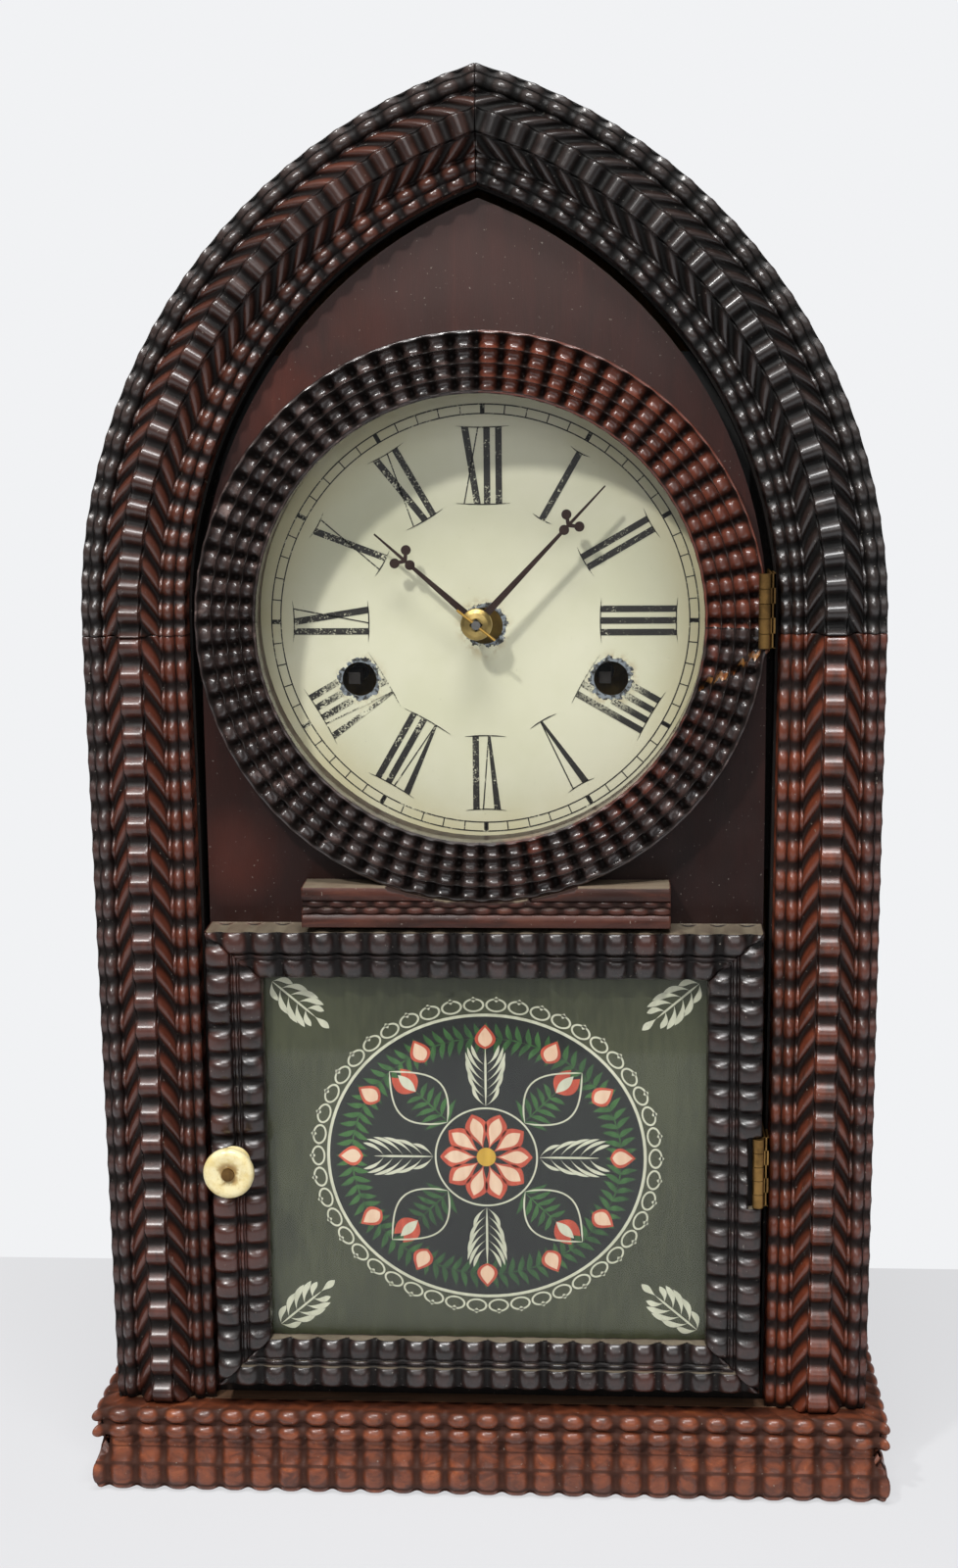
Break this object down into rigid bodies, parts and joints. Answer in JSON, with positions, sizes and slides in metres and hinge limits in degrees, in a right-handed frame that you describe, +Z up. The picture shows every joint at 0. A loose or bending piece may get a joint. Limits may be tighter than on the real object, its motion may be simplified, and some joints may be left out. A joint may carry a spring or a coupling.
{
  "type": "beehive clock",
  "caption": "Lancet-arched shelf clock with rippled mouldings, round dial in a hinged door, painted glass tablet and a spring-driven pendulum movement with gong.",
  "frame": {"origin": "middle of the underside of the base", "axes": "+Z up, front faces -Y, +X to the right as seen from the front"},
  "size_m": [0.2744, 0.118, 0.4764],
  "materials": {
    "leg_wood": "rippled mahogany, worn varnish",
    "arch_wood": "rippled rosewood-dark varnish",
    "base_wood": "rippled mahogany",
    "dusty_wood": "dusty flat wood",
    "panel_wood": "dark veneer",
    "pine": "plain unfinished pine",
    "case_veneer": "mahogany veneer",
    "dial_paint": "aged cream paint on zinc",
    "brass": "rolled brass",
    "old_brass": "dull aged brass",
    "steel": "steel wire and arbors",
    "blued_steel": "browned steel",
    "iron": "cast iron",
    "bone": "aged bone",
    "dial_glass": "clear old glass",
    "tablet_glass": "clear old glass",
    "tablet_paint": "painted layer behind glass"
  },
  "bodies": {
    "case": {"base_frame": "pine", "base_top_board": "dusty_wood", "base_moulding_front": "base_wood", "base_moulding_sides": "base_wood", "case_side_left": "case_veneer", "case_side_right": "case_veneer", "case_arch": "case_veneer", "face_frame": "pine", "back_board": "pine", "leg_moulding_left": "leg_wood", "leg_moulding_right": "leg_wood", "arch_moulding_left": "arch_wood", "arch_moulding_right": "arch_wood", "dial_cleats": "pine", "dial": "dial_paint", "front_plate": "brass", "back_plate": "brass", "plate_pillars": "brass", "gong_base": "iron", "gong_coil": "steel", "mainsprings": "steel", "case_hinges": "old_brass"},
    "door": {"door_panel": "panel_wood", "dial_bezel": "arch_wood", "dial_glass": "dial_glass", "door_ledge": "base_wood", "frame_top": "panel_wood", "frame_bottom": "panel_wood", "frame_left": "panel_wood", "frame_right": "panel_wood", "tablet_glass": "tablet_glass", "tablet_paint": "tablet_paint", "glass_stops": "pine", "door_hinges": "old_brass"},
    "latch": {"door_knob": "bone", "latch_tongue": "old_brass"},
    "minute": {"centre_arbor": "steel", "minute_hand": "blued_steel", "hand_collet": "brass", "hand_pin": "brass"},
    "hour": {"hour_wheel": "brass", "hour_hand": "blued_steel"},
    "minute_wheel": {"minute_wheel": "brass"},
    "time_great": {"time_great_wheel": "brass"},
    "time_winding": {"time_winding_arbor": "steel"},
    "time_second": {"time_second_wheel": "brass"},
    "centre": {"centre_wheel": "brass"},
    "third": {"third_wheel": "brass"},
    "escape": {"escape_wheel": "brass"},
    "pendulum": {"verge": "steel", "pendulum_rod": "steel", "pendulum_bob": "brass"},
    "strike_great": {"strike_great_wheel": "brass"},
    "strike_winding": {"strike_winding_arbor": "steel"},
    "strike_second": {"strike_second_wheel": "brass"},
    "strike_third": {"strike_third_wheel": "brass"},
    "fly": {"strike_fly": "brass"},
    "hammer": {"strike_hammer": "steel"}
  },
  "joints": [
    {"name": "door_hinge", "type": "hinge", "parent": "case", "child": "door", "pos_m": [0.0915, -0.043, 0.2], "axis": [0, 0, 1], "range_deg": [0, 110]},
    {"name": "latch_turn", "type": "hinge", "parent": "door", "child": "latch", "pos_m": [-0.0845, -0.029, 0.1199], "axis": [0, 1, 0], "range_deg": [0, 90]},
    {"name": "minute_turn", "type": "hinge", "parent": "case", "child": "minute", "pos_m": [-0.002, -0.019, 0.2992], "axis": [0, 1, 0], "continuous": true},
    {"name": "hour_turn", "type": "hinge", "parent": "case", "child": "hour", "pos_m": [-0.002, -0.009, 0.2992], "axis": [0, 1, 0], "continuous": true},
    {"name": "minute_wheel_turn", "type": "hinge", "parent": "case", "child": "minute_wheel", "pos_m": [-0.002, 0.002, 0.2872], "axis": [0, 1, 0], "continuous": true},
    {"name": "escape_turn", "type": "hinge", "parent": "case", "child": "escape", "pos_m": [0.00701, 0.021, 0.33121], "axis": [0, 1, 0], "continuous": true},
    {"name": "third_turn", "type": "hinge", "parent": "case", "child": "third", "pos_m": [-0.006, 0.021, 0.3182], "axis": [0, 1, 0], "continuous": true},
    {"name": "centre_turn", "type": "hinge", "parent": "case", "child": "centre", "pos_m": [-0.002, 0.021, 0.2992], "axis": [0, 1, 0], "continuous": true},
    {"name": "time_second_turn", "type": "hinge", "parent": "case", "child": "time_second", "pos_m": [0.01855, 0.021, 0.30575], "axis": [0, 1, 0], "continuous": true},
    {"name": "time_great_turn", "type": "hinge", "parent": "case", "child": "time_great", "pos_m": [0.0404, 0.01, 0.2797], "axis": [0, 1, 0], "continuous": true},
    {"name": "time_winding_turn", "type": "hinge", "parent": "case", "child": "time_winding", "pos_m": [0.0404, 0.021, 0.2797], "axis": [0, 1, 0], "continuous": true},
    {"name": "strike_winding_turn", "type": "hinge", "parent": "case", "child": "strike_winding", "pos_m": [-0.0444, 0.021, 0.2797], "axis": [0, 1, 0], "continuous": true},
    {"name": "pendulum_swing", "type": "hinge", "parent": "case", "child": "pendulum", "pos_m": [0.00701, -0.007, 0.35121], "axis": [0, 1, 0], "range_deg": [-3, 3]},
    {"name": "fly_turn", "type": "hinge", "parent": "case", "child": "fly", "pos_m": [-0.02834, 0.021, 0.34555], "axis": [0, 1, 0], "continuous": true},
    {"name": "strike_third_turn", "type": "hinge", "parent": "case", "child": "strike_third", "pos_m": [-0.03631, 0.021, 0.33174], "axis": [0, 1, 0], "continuous": true},
    {"name": "strike_second_turn", "type": "hinge", "parent": "case", "child": "strike_second", "pos_m": [-0.03277, 0.021, 0.31165], "axis": [0, 1, 0], "continuous": true},
    {"name": "strike_great_turn", "type": "hinge", "parent": "case", "child": "strike_great", "pos_m": [-0.0444, 0.01, 0.2797], "axis": [0, 1, 0], "continuous": true},
    {"name": "hammer_swing", "type": "hinge", "parent": "case", "child": "hammer", "pos_m": [-0.016, 0.021, 0.2572], "axis": [0, 1, 0], "range_deg": [0, 15]}
  ],
  "couplings": [
    {"joint": "hour_turn", "follows": "minute_turn", "ratio": 0.083333},
    {"joint": "minute_wheel_turn", "follows": "minute_turn", "ratio": -0.33333},
    {"joint": "third_turn", "follows": "centre_turn", "ratio": -9},
    {"joint": "escape_turn", "follows": "centre_turn", "ratio": 90},
    {"joint": "time_second_turn", "follows": "centre_turn", "ratio": -0.16667},
    {"joint": "time_great_turn", "follows": "centre_turn", "ratio": 0.018519},
    {"joint": "strike_third_turn", "follows": "strike_second_turn", "ratio": -7.5},
    {"joint": "fly_turn", "follows": "strike_second_turn", "ratio": 46.875},
    {"joint": "strike_great_turn", "follows": "strike_second_turn", "ratio": -0.11111}
  ]
}
